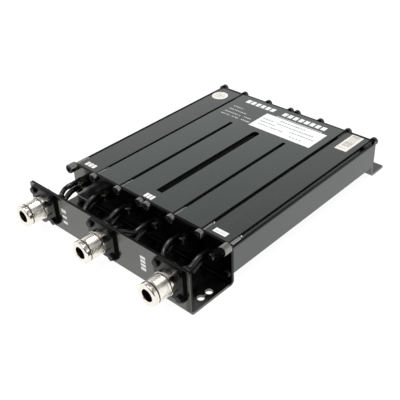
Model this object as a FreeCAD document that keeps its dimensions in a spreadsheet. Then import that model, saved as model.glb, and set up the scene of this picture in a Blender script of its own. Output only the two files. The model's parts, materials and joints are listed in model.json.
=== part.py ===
import FreeCAD, Part

import math
import os
import re

import Sketcher

# A six-cavity duplexer. Two triple-cavity extrusions lie side by side between a folded
# front bracket, which carries three coaxial connectors, and a rear plate with a foot.
# Origin: middle of the four front mounting holes, on the resting plane. X runs along the
# connector panel, Y from the connectors to the rear foot. The y of each piece is written
# from the front face of the cavities, and bind() moves it to the origin.

Vector = FreeCAD.Vector
Rotation = FreeCAD.Rotation
Placement = FreeCAD.Placement

SIZES = [
    ("cavity_pitch", 25.6, "centre to centre of neighbouring cavities"),
    ("block_gap", 1.0, "gap between the two extrusions"),
    ("block_length", 162.5, "extrusion length"),
    ("block_bottom", 7.3, "underside of the extrusions above the resting plane"),
    ("block_height", 23.5, "extrusion height"),
    ("cavity_wall", 2.0, "wall round a cavity"),
    ("cavity_corner", 7.0, "inner corner radius of a cavity"),
    ("groove_radius", 1.6, "screw groove of the extrusion"),
    ("groove_depth", 1.7, "centre of a screw groove below the face"),
    ("groove_opening", 2.7, "width of the open side of a groove"),
    ("corner_lip", 1.5, "lip outside a corner groove"),
    ("lip_drop", 1.3, "corner lip below the top face"),
    ("cover_thickness", 0.4, "printed cover sheet"),
    ("cover_slot_back", 43.5, "rear end of the cover's slots from the extrusion's rear"),
    ("cover_slot_width", 3.0, "slots of the cover over the grooves"),
    ("middle_slot_width", 6.1, "slot of the cover over the joint"),
    ("middle_slot_start", 12.0, "front end of the middle slot"),
    ("metal", 2.0, "sheet metal of the brackets"),
    ("bend_inside", 1.0, "inside radius of a bend"),
    ("bay_depth", 39.5, "panel's outer face in front of the cavities"),
    ("panel_height", 33.8, "top of the connector panel"),
    ("panel_corner", 1.6, "radius of the panel's two top corners"),
    ("plate_height", 31.0, "top of the two end plates"),
    ("foot_length", 15.5, "rear foot behind its plate"),
    ("relief_left", 70.0, "relief window, left end from the middle"),
    ("relief_right", 50.0, "relief window, right end from the middle"),
    ("relief_height", 6.0, "relief window above the resting plane"),
    ("relief_back", 6.4, "relief window behind the panel's face"),
    ("ear_hole", 2.5, "radius of a mounting hole"),
    ("ear_hole_x", 71.8, "mounting holes from the middle"),
    ("ear_hole_step", 7.6, "between the two holes of an ear"),
    ("ear_hole_y", 21.3, "mounting holes' middle, the origin, in front of the cavities"),
    ("ear_pilot", 0.9, "radius of the small hole between them"),
    ("foot_hole_x", 68.0, "holes of the rear foot from the middle"),
    ("connector_step", 61.3, "centre to centre of the connectors"),
    ("connector_height", 21.0, "connector axis above the resting plane"),
    ("flange_side", 24.6, "square flange of a connector"),
    ("flange_corner", 2.2, "corner radius of a flange"),
    ("flange_thickness", 2.0, "flange plate"),
    ("flange_hole_step", 18.26, "hole to hole of a flange"),
    ("barrel_radius", 7.0, "connector barrel through the panel"),
    ("barrel_rear", 6.0, "barrel behind the panel's outer face"),
    ("collar_radius", 9.6, "big collar in front of the flange"),
    ("collar_length", 4.2, "length of the collar"),
    ("collar_flat", 8.9, "half the distance across the collar's flats"),
    ("neck_radius", 7.0, "neck between collar and thread"),
    ("neck_length", 1.0, "length of the neck"),
    ("thread_radius", 7.94, "outer radius of the connector's thread"),
    ("seal_groove_radius", 7.2, "groove behind the front lip"),
    ("seal_groove_length", 0.7, "width of that groove"),
    ("lip_length", 3.2, "front lip"),
    ("mouth_chamfer", 0.7, "chamfer of the mouth"),
    ("connector_reach", 19.9, "mouth in front of the panel"),
    ("socket_radius", 4.6, "inside of the socket"),
    ("socket_depth", 9.5, "depth of the socket"),
    ("insulator_radius", 3.6, "insulator inside the barrel"),
    ("contact_radius", 1.5, "centre contact"),
    ("contact_bore", 0.85, "bore of the centre contact"),
    ("contact_bore_depth", 8.0, "depth of that bore"),
    ("contact_slit", 0.35, "width of the contact's slits"),
    ("contact_rear", 3.0, "contact behind the barrel"),
    ("contact_setback", 3.4, "contact's tip inside the mouth"),
    ("fit_clearance", 0.05, "radial play of parts that sit in each other"),
    ("screw_radius", 1.45, "shank of the small screws"),
    ("screw_hole_play", 0.15, "radial play of a screw in a plate"),
    ("flange_head_corner", 2.5, "corner radius of a hexagon head"),
    ("flange_head_height", 2.0, "height of a hexagon head"),
    ("flange_screw_length", 6.6, "shank of a flange screw"),
    ("tie_head_radius", 3.1, "head of an upper tie screw"),
    ("tie_head_height", 3.0, "its height"),
    ("end_head_radius", 3.5, "head of the two outermost upper tie screws at the front"),
    ("end_head_height", 6.0, "its height"),
    ("low_head_radius", 2.5, "head of a lower tie screw"),
    ("low_head_height", 2.5, "its height"),
    ("tie_length", 11.5, "tie screw inside the groove"),
    ("nut_corner", 10.6, "corner radius of a connector nut"),
    ("nut_thickness", 3.0, "connector nut"),
    ("rod_radius", 4.0, "resonator rod"),
    ("rod_front", 22.5, "free end of a rod behind the cavity's front"),
    ("rod_bore", 2.0, "thread at the rod's fixed end"),
    ("rod_bore_depth", 12.0, "depth of that thread"),
    ("rod_screw_length", 10.0, "screw inside the rod"),
    ("rod_head_radius", 3.5, "head of the rod's screw"),
    ("rod_head_height", 2.5, "its height"),
    ("tuner_radius", 2.45, "tuning screw"),
    ("tuner_length", 25.0, "its length"),
    ("tuner_proud", 5.5, "its end in front of the plate"),
    ("tuner_slot", 0.8, "screwdriver slot, width"),
    ("tuner_slot_depth", 1.2, "screwdriver slot, depth"),
    ("lock_nut_corner", 4.2, "corner radius of a lock nut"),
    ("lock_nut_height", 3.0, "its height"),
    ("port_side", 6.8, "cable ports beside the middle of a cavity"),
    ("port_upper", 17.8, "upper port above the resting plane"),
    ("port_lower", 12.8, "lower port above the resting plane"),
    ("port_flange_radius", 2.3, "collar of a port bush"),
    ("port_flange_length", 1.0, "its thickness"),
    ("port_radius", 1.9, "port bush"),
    ("port_reach", 7.0, "bush in front of the plate"),
    ("port_stub", 1.5, "bush through the plate"),
    ("port_inside", 0.5, "bush inside the cavity"),
    ("loop_radius", 0.6, "wire of a coupling loop"),
    ("loop_reach", 15.0, "coupling loop inside the cavity"),
    ("cable_radius", 1.8, "coaxial jumper"),
    ("label_thickness", 0.15, "labels"),
    ("label_left", 13.4, "white label, left edge left of the middle"),
    ("label_width", 58.0, "white label"),
    ("label_back", 14.5, "its rear edge from the extrusion's rear"),
    ("label_depth", 24.0, "its depth"),
    ("round_label_side", 1.1, "round label left of the outer cavity's middle"),
    ("round_label_back", 13.3, "its middle from the extrusion's rear"),
    ("round_label_radius", 6.9, "round label"),
    ("strip_side", 1.0, "strip label left of the outer cavity's middle"),
    ("strip_width", 10.2, "strip label"),
    ("strip_back", 0.7, "its rear edge from the extrusion's rear"),
    ("strip_depth", 25.0, "strip label"),
]

CAVITIES = 6
BLOCK_CAVITIES = 3
PAST = 5.0

doc = FreeCAD.newDocument("cavity_duplexer")
sheet = doc.addObject("Spreadsheet::Sheet", "Sizes")
for row, (alias, size, note) in enumerate(SIZES, start=1):
    sheet.set("A%d" % row, alias)
    sheet.set("B%d" % row, str(size))
    sheet.set("C%d" % row, note)
    sheet.setAlias("B%d" % row, alias)
doc.recompute()

ALIASES = re.compile(r"\b(" + "|".join(alias for alias, size, note in SIZES) + r")\b")
nodes = {}


def formula(text):
    """An expression on the sheet, written with the bare names of its cells."""
    return ALIASES.sub(r"Sizes.\1", str(text))


def number(text):
    """The present value of such an expression."""
    return float(sheet.evalExpression(formula(text)))


def bind(piece, **places):
    """Bind properties of a piece to the sheet; x, y and z are its place, y from the cavities."""
    for key, text in places.items():
        if key == "y":
            piece.setExpression(".Placement.Base.y", formula("(%s) + ear_hole_y" % text))
        elif key in ("x", "z"):
            piece.setExpression(".Placement.Base." + key, formula(text))
        else:
            piece.setExpression(key, formula(text))
    return piece


def keep(label, piece):
    """Name a finished sub-part."""
    piece.Label = label
    nodes[label] = piece
    return piece


def box(name, x, y, z, length, width, height):
    """A box from its lowest corner."""
    piece = doc.addObject("Part::Box", name)
    return bind(piece, x=x, y=y, z=z, Length=length, Width=width, Height=height)


UPWARD = Rotation()
REARWARD = Rotation(Vector(1, 0, 0), -90)
FORWARD = Rotation(Vector(1, 0, 0), 90)
BEND_REAR = Rotation(Vector(0, 0, -1), Vector(0, 1, 0), Vector(1, 0, 0), "XYZ")
BEND_FRONT = Rotation(Vector(0, -1, 0), Vector(0, 0, -1), Vector(1, 0, 0), "XYZ")


def cylinder(name, turn, x, y, z, radius, height, angle=360):
    """A cylinder that starts at a point and runs along a turned Z axis."""
    piece = doc.addObject("Part::Cylinder", name)
    piece.Placement = Placement(Vector(), turn)
    piece.Angle = angle
    return bind(piece, x=x, y=y, z=z, Radius=radius, Height=height)


def hexagon(name, turn, x, y, z, corner, height):
    """A hexagonal prism, placed as a cylinder is."""
    piece = doc.addObject("Part::Prism", name)
    piece.Placement = Placement(Vector(), turn)
    piece.Polygon = 6
    return bind(piece, x=x, y=y, z=z, Circumradius=corner, Height=height)


def fuse(name, pieces):
    """One solid of several."""
    piece = doc.addObject("Part::MultiFuse", name)
    piece.Shapes = pieces
    piece.Refine = True
    return piece


def cut(name, base, tools):
    """A base with tools taken away."""
    if len(tools) > 1:
        tool = doc.addObject("Part::Compound", name + "Tools")
        tool.Links = tools
    else:
        tool = tools[0]
    piece = doc.addObject("Part::Cut", name)
    piece.Base = base
    piece.Tool = tool
    piece.Refine = True
    return piece


def group(name, pieces):
    """Equal pieces of one kind, each its own solid."""
    piece = doc.addObject("Part::Compound", name)
    piece.Links = pieces
    return piece


def round_edges(name, base, radius, axis):
    """Round the edges of a box that run along one axis."""
    doc.recompute()
    piece = doc.addObject("Part::Fillet", name)
    piece.Base = base
    size = number(radius)
    chosen = []
    for place, edge in enumerate(base.Shape.Edges, start=1):
        way = edge.Vertexes[1].Point.sub(edge.Vertexes[0].Point)
        if abs(way.normalize().dot(axis)) > 0.99:
            chosen.append((place, size, size))
    piece.Edges = chosen
    return piece


def outline(body, corners):
    """A closed outline in a body's XY plane; each corner is held by two bound distances."""
    sketch = body.newObject("Sketcher::SketchObject", body.Name + "Outline")
    plane = [part for part in body.Origin.OriginFeatures if part.Role == "XY_Plane"][0]
    sketch.AttachmentSupport = [(plane, "")]
    sketch.MapMode = "FlatFace"
    count = len(corners)
    spots = [Vector(number(across), number(along), 0) for across, along in corners]
    for place in range(count):
        sketch.addGeometry(Part.LineSegment(spots[place], spots[(place + 1) % count]), False)
    for place in range(count):
        sketch.addConstraint(Sketcher.Constraint("Coincident", place, 2, (place + 1) % count, 1))
    for place, corner in enumerate(corners):
        for kind, axis, text in (("DistanceX", -2, corner[0]), ("DistanceY", -1, corner[1])):
            if text == "0":
                sketch.addConstraint(Sketcher.Constraint("PointOnObject", place, 1, axis))
            else:
                held = sketch.addConstraint(Sketcher.Constraint(kind, -1, 1, place, 1, number(text)))
                sketch.setExpression("Constraints[%d]" % held, formula(text))
    return sketch


def turned(name, corners, x, y, z):
    """A body turned about its own Y axis, which points forward, out of the panel."""
    body = doc.addObject("PartDesign::Body", name)
    sketch = outline(body, corners)
    turn = body.newObject("PartDesign::Revolution", name + "Turn")
    turn.Profile = sketch
    turn.ReferenceAxis = (sketch, ["V_Axis"])
    turn.Angle = 360
    body.Placement = Placement(Vector(), Rotation(Vector(0, 0, 1), 180))
    return bind(body, x=x, y=y, z=z)


def cavity_centre(place):
    """X of a cavity's middle, counted from the left."""
    if place < BLOCK_CAVITIES:
        return "-(block_gap / 2 + %.1f * cavity_pitch)" % (BLOCK_CAVITIES - place - 0.5)
    return "block_gap / 2 + %.1f * cavity_pitch" % (place - BLOCK_CAVITIES + 0.5)


BLOCK_TOP = "block_bottom + block_height"
SLOT_END = "(block_length - cover_slot_back)"
AXIS_HEIGHT = "block_bottom + block_height / 2"
END_GROOVE = "block_gap / 2 + corner_lip + groove_opening / 2"
HALF_WIDTH = "(block_gap / 2 + %d * cavity_pitch)" % BLOCK_CAVITIES
OUTER_GROOVE = HALF_WIDTH + " - corner_lip - groove_opening / 2"
GROOVES = [
    END_GROOVE,
    "block_gap / 2 + cavity_pitch",
    "block_gap / 2 + 2 * cavity_pitch",
    OUTER_GROOVE,
]
COLUMNS = ["-(%s)" % text for text in reversed(GROOVES)] + GROOVES
CONNECTORS = [("1", "-connector_step"), ("2", "0"), ("3", "connector_step")]


def block_profile_tools():
    """Cavities, screw grooves and corner lips of one extrusion."""
    tools = []
    for place in range(BLOCK_CAVITIES):
        hollow = box(
            "Hollow%d" % place,
            "block_gap / 2 + %d * cavity_pitch + cavity_wall" % place,
            "-%f" % PAST,
            "block_bottom + cavity_wall",
            "cavity_pitch - 2 * cavity_wall",
            "block_length + %f" % (2 * PAST),
            "block_height - 2 * cavity_wall",
        )
        tools.append(round_edges("Cavity%d" % place, hollow, "cavity_corner", Vector(0, 1, 0)))
    for place, across in enumerate(GROOVES):
        for level, height in enumerate((BLOCK_TOP + " - groove_depth", "block_bottom + groove_depth")):
            tools.append(
                cylinder(
                    "Groove%d%d" % (place, level), REARWARD, across, "-%f" % PAST, height,
                    "groove_radius", "block_length + %f" % (2 * PAST),
                )
            )
            low = height if level == 0 else "block_bottom - %f" % PAST
            tools.append(
                box(
                    "Opening%d%d" % (place, level), across + " - groove_opening / 2", "-%f" % PAST, low,
                    "groove_opening", "block_length + %f" % (2 * PAST), "groove_depth + %f" % PAST,
                )
            )
    for place, left in enumerate(("block_gap / 2 - 1", HALF_WIDTH + " - corner_lip")):
        for level, low in enumerate((BLOCK_TOP + " - lip_drop", "block_bottom - %f" % PAST)):
            tools.append(
                box(
                    "Lip%d%d" % (place, level), left, "-%f" % PAST, low,
                    "corner_lip + 1", "block_length + %f" % (2 * PAST), "lip_drop + %f" % PAST,
                )
            )
    return tools


def make_blocks():
    """The two extrusions; the left one mirrors the right one."""
    bar = box(
        "Bar", "block_gap / 2", "0", "block_bottom",
        "%d * cavity_pitch" % BLOCK_CAVITIES, "block_length", "block_height",
    )
    right = keep("cavity_block_right", cut("BlockRight", bar, block_profile_tools()))
    left = doc.addObject("Part::Mirroring", "BlockLeft")
    left.Source = right
    left.Base = Vector(0, 0, 0)
    left.Normal = Vector(1, 0, 0)
    keep("cavity_block_left", left)


def make_cover():
    """The printed cover sheet, with open slots over the grooves and a closed one over the joint."""
    half = "(block_gap / 2 + 2 * cavity_pitch - groove_opening / 2)"
    blank = box("CoverBlank", "-" + half, "0", BLOCK_TOP, "2 * " + half, "block_length", "cover_thickness")
    tools = []
    deep = "cover_thickness + %f" % (2 * PAST)
    low = BLOCK_TOP + " - %f" % PAST
    for side, across in (("Left", "-(block_gap / 2 + cavity_pitch)"), ("Right", "block_gap / 2 + cavity_pitch")):
        tools.append(
            box(
                "CoverSlot" + side, across + " - cover_slot_width / 2", "-%f" % PAST, low,
                "cover_slot_width", SLOT_END + " - cover_slot_width / 2 + %f" % PAST, deep,
            )
        )
        tools.append(
            cylinder(
                "CoverSlotEnd" + side, UPWARD, across, SLOT_END + " - cover_slot_width / 2", low,
                "cover_slot_width / 2", deep,
            )
        )
    tools.append(
        box(
            "MiddleSlot", "-middle_slot_width / 2", "middle_slot_start", low,
            "middle_slot_width", SLOT_END + " - middle_slot_width / 2 - middle_slot_start", deep,
        )
    )
    tools.append(
        cylinder(
            "MiddleSlotEnd", UPWARD, "0", SLOT_END + " - middle_slot_width / 2", low,
            "middle_slot_width / 2", deep,
        )
    )
    keep("cover_sheet", cut("Cover", blank, tools))


def bend(name, turn, y):
    """A quarter bend of the sheet metal along the whole width."""
    outer = cylinder(
        name + "Outer", turn, "-" + HALF_WIDTH, y, "metal + bend_inside",
        "metal + bend_inside", "2 * " + HALF_WIDTH, 90,
    )
    inner = cylinder(
        name + "Inner", turn, "-" + HALF_WIDTH, y, "metal + bend_inside",
        "bend_inside", "2 * " + HALF_WIDTH, 90,
    )
    return cut(name, outer, [inner])


def plate_holes(prefix, y):
    """Holes of an end plate for the tie screws."""
    tools = []
    for place, across in enumerate(COLUMNS):
        for level, height in enumerate((BLOCK_TOP + " - groove_depth", "block_bottom + groove_depth")):
            tools.append(
                cylinder(
                    "%sTie%d%d" % (prefix, place, level), REARWARD, across, y, height,
                    "screw_radius + screw_hole_play", "metal + 2",
                )
            )
    return tools


def corner_tool(name, side, height):
    """What is cut off a top corner of the panel to round it."""
    middle = "%s(%s - panel_corner)" % (side, HALF_WIDTH)
    left = middle if side == "" else middle + " - panel_corner - 1"
    blank = box(
        name + "Blank", left, "-bay_depth - 1", height + " - panel_corner",
        "panel_corner + 1", "metal + 2", "panel_corner + 1",
    )
    round_bar = cylinder(
        name + "Round", REARWARD, middle, "-bay_depth - 2", height + " - panel_corner",
        "panel_corner", "metal + 4",
    )
    return cut(name, blank, [round_bar])


def make_front_bracket():
    """One folded sheet: connector panel, floor and the plate against the cavities."""
    width = "2 * " + HALF_WIDTH
    left = "-" + HALF_WIDTH
    rise = "metal + bend_inside"
    walls = [
        box("Floor", left, "-bay_depth + " + rise, "0", width, "bay_depth - 2 * (%s)" % rise, "metal"),
        box("Panel", left, "-bay_depth", rise, width, "metal", "panel_height - (%s)" % rise),
        box("Plate", left, "-metal", rise, width, "metal", "plate_height - (%s)" % rise),
        bend("PanelBend", BEND_FRONT, "-bay_depth + " + rise),
        bend("PlateBend", BEND_REAR, "-(%s)" % rise),
    ]
    tools = plate_holes("Front", "-metal - 1")
    tools.append(corner_tool("CornerLeft", "-", "panel_height"))
    tools.append(corner_tool("CornerRight", "", "panel_height"))
    for name, across in CONNECTORS:
        tools.append(
            cylinder(
                "PanelHole" + name, REARWARD, across, "-bay_depth - 1", "connector_height",
                "barrel_radius + screw_hole_play", "metal + 2",
            )
        )
        for side, sideways in (("L", "-"), ("R", "+")):
            for level, upward in (("B", "-"), ("T", "+")):
                tools.append(
                    cylinder(
                        "PanelScrew" + name + side + level, REARWARD,
                        "%s %s flange_hole_step / 2" % (across, sideways), "-bay_depth - 1",
                        "connector_height %s flange_hole_step / 2" % upward,
                        "screw_radius + screw_hole_play", "metal + 2",
                    )
                )
    for place in range(CAVITIES):
        centre = cavity_centre(place)
        tools.append(
            cylinder(
                "TunerHole%d" % place, REARWARD, centre, "-metal - 1", AXIS_HEIGHT,
                "tuner_radius + fit_clearance", "metal + 2",
            )
        )
        for level in ("port_upper", "port_lower"):
            tools.append(
                cylinder(
                    "Hole_%s%d" % (level, place), REARWARD, centre + " - port_side", "-metal - 1", level,
                    "port_stub + fit_clearance", "metal + 2",
                )
            )
    for side, across in (("Left", "-ear_hole_x"), ("Right", "ear_hole_x")):
        for end, shift in (("Front", "-"), ("Rear", "+")):
            tools.append(
                cylinder(
                    "Ear" + side + end, UPWARD, across, "-ear_hole_y %s ear_hole_step / 2" % shift, "-1",
                    "ear_hole", "metal + 2",
                )
            )
        tools.append(
            cylinder("Pilot" + side, UPWARD, across, "-ear_hole_y", "-1", "ear_pilot", "metal + 2")
        )
    tools.append(
        box(
            "Relief", "-relief_left", "-bay_depth - 1", "-1",
            "relief_left + relief_right", "relief_back + 1", "relief_height + 1",
        )
    )
    keep("front_bracket", cut("FrontBracket", fuse("FrontSheet", walls), tools))


def make_rear_bracket():
    """The rear plate, folded back into a foot."""
    width = "2 * " + HALF_WIDTH
    left = "-" + HALF_WIDTH
    rise = "metal + bend_inside"
    walls = [
        box("RearPlate", left, "block_length", rise, width, "metal", "plate_height - (%s)" % rise),
        box(
            "Foot", left, "block_length + " + rise, "0",
            width, "foot_length - bend_inside", "metal",
        ),
        bend("FootBend", BEND_FRONT, "block_length + " + rise),
    ]
    tools = plate_holes("Rear", "block_length - 1")
    for place in range(CAVITIES):
        tools.append(
            cylinder(
                "RodHole%d" % place, REARWARD, cavity_centre(place), "block_length - 1", AXIS_HEIGHT,
                "rod_bore + screw_hole_play", "metal + 2",
            )
        )
    for side, across in (("Left", "-foot_hole_x"), ("Right", "foot_hole_x")):
        tools.append(
            cylinder(
                "FootHole" + side, UPWARD, across,
                "block_length + metal + foot_length / 2", "-1", "ear_hole", "metal + 2",
            )
        )
    keep("rear_bracket", cut("RearBracket", fuse("RearSheet", walls), tools))


def make_shell(name, across):
    """Connector shell: barrel, collar with flats, neck, thread, seal groove and mouth."""
    collar = "barrel_rear + flange_thickness"
    neck = collar + " + collar_length"
    thread = neck + " + neck_length"
    mouth = "barrel_rear + connector_reach"
    lip = mouth + " - lip_length"
    bore = "insulator_radius + fit_clearance"
    corners = [
        (bore, "0"),
        ("barrel_radius", "0"),
        ("barrel_radius", collar),
        ("collar_radius", collar),
        ("collar_radius", neck),
        ("neck_radius", neck),
        ("neck_radius", thread),
        ("thread_radius", thread),
        ("thread_radius", lip + " - seal_groove_length"),
        ("seal_groove_radius", lip + " - seal_groove_length"),
        ("seal_groove_radius", lip),
        ("thread_radius", lip),
        ("thread_radius", mouth + " - mouth_chamfer"),
        ("thread_radius - mouth_chamfer", mouth),
        ("socket_radius", mouth),
        ("socket_radius", mouth + " - socket_depth"),
        (bore, mouth + " - socket_depth"),
    ]
    body = turned("Shell" + name, corners, across, "-bay_depth + barrel_rear", "connector_height")
    flats = []
    for side, left in (("L", across + " - collar_radius - 1"), ("R", across + " + collar_flat")):
        flats.append(
            box(
                "Flat" + name + side, left,
                "-bay_depth - flange_thickness - collar_length - neck_length / 2",
                "connector_height - collar_radius",
                "collar_radius - collar_flat + 1", "collar_length + neck_length / 2", "2 * collar_radius",
            )
        )
    keep("connector_shell_" + name, cut("ShellFlats" + name, body, flats))


def make_flange(name, across):
    """Square black flange plate with rounded corners and five holes."""
    face = "-bay_depth - flange_thickness"
    blank = box(
        "FlangeBlank" + name, across + " - flange_side / 2", face, "connector_height - flange_side / 2",
        "flange_side", "flange_thickness", "flange_side",
    )
    plate = round_edges("FlangeRound" + name, blank, "flange_corner", Vector(0, 1, 0))
    tools = [
        cylinder(
            "FlangeHole" + name, REARWARD, across, face + " - 1", "connector_height",
            "barrel_radius + fit_clearance", "flange_thickness + 2",
        )
    ]
    for side, sideways in (("L", "-"), ("R", "+")):
        for level, upward in (("B", "-"), ("T", "+")):
            tools.append(
                cylinder(
                    "FlangeScrewHole" + name + side + level, REARWARD,
                    "%s %s flange_hole_step / 2" % (across, sideways), face + " - 1",
                    "connector_height %s flange_hole_step / 2" % upward,
                    "screw_radius + screw_hole_play", "flange_thickness + 2",
                )
            )
    keep("connector_flange_" + name, cut("Flange" + name, plate, tools))


def make_connector_inside(name, across):
    """Insulator and slit centre contact."""
    inner = "contact_radius + fit_clearance"
    length = "barrel_rear + connector_reach - socket_depth"
    keep(
        "insulator_" + name,
        turned(
            "Insulator" + name,
            [(inner, "0"), ("insulator_radius", "0"), ("insulator_radius", length), (inner, length)],
            across, "-bay_depth + barrel_rear", "connector_height",
        ),
    )
    tip = "contact_rear + barrel_rear + connector_reach - contact_setback"
    start = tip + " - contact_bore_depth"
    pin = turned(
        "Contact" + name,
        [
            ("0", "0"),
            ("contact_radius", "0"),
            ("contact_radius", tip),
            ("contact_bore", tip),
            ("contact_bore", start),
            ("0", start),
        ],
        across, "-bay_depth + barrel_rear + contact_rear", "connector_height",
    )
    front = "-bay_depth - connector_reach + contact_setback - 1"
    slits = [
        box(
            "SlitFlat" + name, across + " - contact_radius - 1", front, "connector_height - contact_slit / 2",
            "2 * contact_radius + 2", "contact_bore_depth - 1", "contact_slit",
        ),
        box(
            "SlitTall" + name, across + " - contact_slit / 2", front, "connector_height - contact_radius - 1",
            "contact_slit", "contact_bore_depth - 1", "2 * contact_radius + 2",
        ),
    ]
    keep("centre_contact_" + name, cut("SlitContact" + name, pin, slits))


def make_connector_fixings():
    """Hexagon screws of the flanges and the nuts behind the panel."""
    screws = []
    nuts = []
    face = "-bay_depth - flange_thickness"
    for name, across in CONNECTORS:
        for side, sideways in (("L", "-"), ("R", "+")):
            for level, upward in (("B", "-"), ("T", "+")):
                spot = "%s %s flange_hole_step / 2" % (across, sideways)
                height = "connector_height %s flange_hole_step / 2" % upward
                tag = name + side + level
                head = hexagon(
                    "FlangeHead" + tag, FORWARD, spot, face, height,
                    "flange_head_corner", "flange_head_height",
                )
                shank = cylinder(
                    "FlangeShank" + tag, REARWARD, spot, face, height,
                    "screw_radius", "flange_screw_length",
                )
                screws.append(fuse("FlangeScrew" + tag, [head, shank]))
        blank = hexagon(
            "NutBlank" + name, REARWARD, across, "-bay_depth + metal", "connector_height",
            "nut_corner", "nut_thickness",
        )
        hole = cylinder(
            "NutHole" + name, REARWARD, across, "-bay_depth + metal - 1", "connector_height",
            "barrel_radius + fit_clearance", "nut_thickness + 2",
        )
        nuts.append(cut("Nut" + name, blank, [hole]))
    keep("flange_screws", group("FlangeScrews", screws))
    keep("connector_nuts", group("ConnectorNuts", nuts))


def make_tie_screws():
    """Screws that hold both end plates to the grooves of the extrusions."""
    ends = (
        ("front", "-metal", FORWARD, REARWARD),
        ("rear", "block_length + metal", REARWARD, FORWARD),
    )
    rows = (
        ("upper", BLOCK_TOP + " - groove_depth", "tie_head_radius", "tie_head_height"),
        ("lower", "block_bottom + groove_depth", "low_head_radius", "low_head_height"),
    )
    for end, face, outward, inward in ends:
        for row_name, height, head_radius, head_height in rows:
            screws = []
            for place, across in enumerate(COLUMNS):
                tag = "%s%s%d" % (end, row_name, place)
                size = (head_radius, head_height)
                if (end, row_name) == ("front", "upper") and place in (0, len(COLUMNS) - 1):
                    size = ("end_head_radius", "end_head_height")
                head = cylinder("TieHead" + tag, outward, across, face, height, *size)
                shank = cylinder(
                    "TieShank" + tag, inward, across, face, height,
                    "screw_radius", "metal + tie_length",
                )
                screws.append(fuse("TieScrew" + tag, [head, shank]))
            keep("tie_screws_%s_%s" % (end, row_name), group("Tie%s%s" % (end, row_name), screws))


def make_resonators():
    """Quarter-wave rods on the rear plate, each with its screw."""
    screws = []
    for place in range(CAVITIES):
        centre = cavity_centre(place)
        rod = cylinder(
            "Rod%d" % place, REARWARD, centre, "rod_front", AXIS_HEIGHT,
            "rod_radius", "block_length - rod_front",
        )
        bore = cylinder(
            "RodBore%d" % place, FORWARD, centre, "block_length + 1", AXIS_HEIGHT,
            "rod_bore", "rod_bore_depth + 1",
        )
        keep("resonator_%d" % (place + 1), cut("Resonator%d" % place, rod, [bore]))
        head = cylinder(
            "RodHead%d" % place, REARWARD, centre, "block_length + metal", AXIS_HEIGHT,
            "rod_head_radius", "rod_head_height",
        )
        shank = cylinder(
            "RodShank%d" % place, FORWARD, centre, "block_length + metal", AXIS_HEIGHT,
            "rod_bore - fit_clearance", "metal + rod_screw_length",
        )
        screws.append(fuse("RodScrew%d" % place, [head, shank]))
    keep("resonator_screws", group("ResonatorScrews", screws))


def make_tuners():
    """Slotted tuning screws, one for each cavity, with their lock nuts."""
    nuts = []
    for place in range(CAVITIES):
        centre = cavity_centre(place)
        rod = cylinder(
            "TunerRod%d" % place, REARWARD, centre, "-metal - tuner_proud", AXIS_HEIGHT,
            "tuner_radius", "tuner_length",
        )
        slot = box(
            "TunerSlot%d" % place, centre + " - tuner_radius - 1", "-metal - tuner_proud - 1",
            AXIS_HEIGHT + " - tuner_slot / 2",
            "2 * tuner_radius + 2", "tuner_slot_depth + 1", "tuner_slot",
        )
        keep("tuning_screw_%d" % (place + 1), cut("Tuner%d" % place, rod, [slot]))
        blank = hexagon(
            "LockBlank%d" % place, FORWARD, centre, "-metal", AXIS_HEIGHT,
            "lock_nut_corner", "lock_nut_height",
        )
        hole = cylinder(
            "LockHole%d" % place, FORWARD, centre, "-metal + 1", AXIS_HEIGHT,
            "tuner_radius + fit_clearance", "lock_nut_height + 2",
        )
        nuts.append(cut("LockNut%d" % place, blank, [hole]))
    keep("lock_nuts", group("LockNuts", nuts))


def arc_path(points):
    """Straight runs joined by tangent arcs, as large as the two runs at a point allow."""
    edges = []
    radii = []
    start = points[0]
    for before, here, after in zip(points, points[1:], points[2:]):
        one = before.sub(here)
        two = after.sub(here)
        shorter = min(one.Length, two.Length)
        turn = math.pi - one.getAngle(two)
        radius = 0.45 * shorter / math.tan(turn / 2)
        one.normalize()
        two.normalize()
        first = here.add(one * (0.45 * shorter))
        last = here.add(two * (0.45 * shorter))
        inward = one.add(two).normalize()
        centre = here.add(inward * (radius / math.cos(turn / 2)))
        middle = centre.sub(inward * radius)
        edges.append(Part.LineSegment(start, first).toShape())
        edges.append(Part.Arc(first, middle, last).toShape())
        radii.append(radius)
        start = last
    edges.append(Part.LineSegment(start, points[-1]).toShape())
    return Part.Wire(edges), radii


def tube(label, points, radius):
    """A round tube along such a path."""
    path, radii = arc_path(points)
    way = points[1].sub(points[0])
    ring = Part.Wire([Part.Circle(points[0], way, radius).toShape()])
    shape = path.makePipeShell([ring], True, False)
    piece = doc.addObject("Part::Feature", "Tube_" + label)
    piece.Shape = shape
    expected = math.pi * radius ** 2 * path.Length
    print(
        label, "length %.1f" % path.Length, "radii", [round(size, 1) for size in radii],
        "volume ratio %.4f" % (shape.Volume / expected),
    )
    return bind(piece, y="0")


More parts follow.
